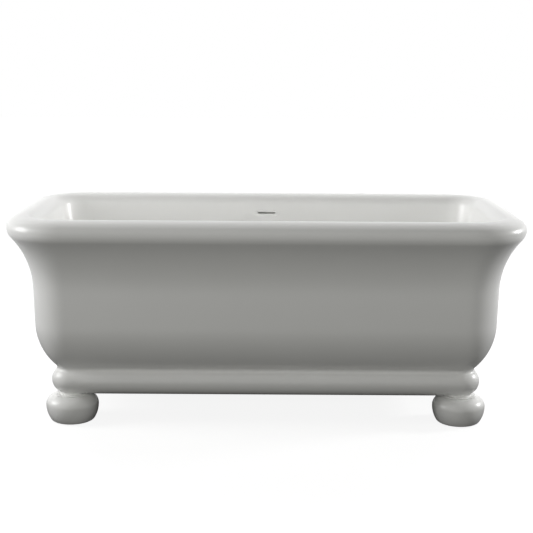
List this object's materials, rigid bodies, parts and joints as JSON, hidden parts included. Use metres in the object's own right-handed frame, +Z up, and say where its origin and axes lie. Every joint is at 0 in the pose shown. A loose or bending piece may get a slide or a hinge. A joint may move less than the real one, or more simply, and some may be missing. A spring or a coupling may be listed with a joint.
{
  "type": "footed bathtub",
  "caption": "Double-skinned white bathtub with a rolled rim, flared sides, a half-round base roll and bun feet, with a push plug waste, an overflow and levelling glides.",
  "frame": {"origin": "on the floor, under the middle of the tub", "axes": "+X along the tub's length, -Y towards the front that the picture shows, +Z up"},
  "size_m": [1.6, 0.75, 0.664],
  "materials": {
    "tub_white": "glossy white, smooth",
    "foot_white": "glossy white, smooth",
    "ply": "plain board",
    "rail_steel": "dark satin paint",
    "zinc_steel": "zinc plated",
    "insert_brass": "turned",
    "glide_nylon": "matt dark",
    "waste_chrome": "polished",
    "overflow_trim": "glossy white",
    "seal_rubber": "matt black",
    "pipe_plastic": "moulded, off-white",
    "hose_grey": "moulded, grey"
  },
  "bodies": {
    "tub": {"basin": "tub_white", "outer_shell": "tub_white", "foot_bun_front_left": "foot_white", "foot_bun_front_right": "foot_white", "foot_bun_rear_left": "foot_white", "foot_bun_rear_right": "foot_white", "neck_ring_front_left": "foot_white", "neck_ring_front_right": "foot_white", "neck_ring_rear_left": "foot_white", "neck_ring_rear_right": "foot_white", "base_board": "ply", "long_rail_front": "rail_steel", "long_rail_rear": "rail_steel", "cross_rail_left_outer": "rail_steel", "cross_rail_left_inner": "rail_steel", "cross_rail_right_inner": "rail_steel", "cross_rail_right_outer": "rail_steel", "rail_bolts": "zinc_steel", "rail_nuts": "zinc_steel", "board_screws": "zinc_steel", "foot_studs": "zinc_steel", "foot_washers": "zinc_steel", "foot_nuts": "zinc_steel", "hose_clips": "zinc_steel", "plug_spring": "zinc_steel", "foot_stud_inserts": "insert_brass", "glide_inserts": "insert_brass", "plug_cartridge": "insert_brass", "waste_flange": "waste_chrome", "overflow_cover": "overflow_trim", "waste_seal_upper": "seal_rubber", "waste_seal_lower": "seal_rubber", "overflow_seal": "seal_rubber", "waste_tee": "pipe_plastic", "waste_backnut": "pipe_plastic", "overflow_body": "pipe_plastic", "overflow_hose": "hose_grey"},
    "plug": {"plug_cap": "waste_chrome", "plug_seal": "seal_rubber", "plug_stem": "waste_chrome"},
    "glide_front_left": {"levelling_glide_front_left": "glide_nylon"},
    "glide_front_right": {"levelling_glide_front_right": "glide_nylon"},
    "glide_rear_left": {"levelling_glide_rear_left": "glide_nylon"},
    "glide_rear_right": {"levelling_glide_rear_right": "glide_nylon"}
  },
  "joints": [
    {"name": "plug_lift", "type": "slide", "parent": "tub", "child": "plug", "axis": [0, 0, 1], "range_m": [0, 0.01], "deforming": ["plug_spring"]},
    {"name": "level_front_left", "type": "slide", "parent": "tub", "child": "glide_front_left", "axis": [0, 0, -1], "range_m": [0, 0.012]},
    {"name": "level_front_right", "type": "slide", "parent": "tub", "child": "glide_front_right", "axis": [0, 0, -1], "range_m": [0, 0.012]},
    {"name": "level_rear_left", "type": "slide", "parent": "tub", "child": "glide_rear_left", "axis": [0, 0, -1], "range_m": [0, 0.012]},
    {"name": "level_rear_right", "type": "slide", "parent": "tub", "child": "glide_rear_right", "axis": [0, 0, -1], "range_m": [0, 0.012]}
  ]
}
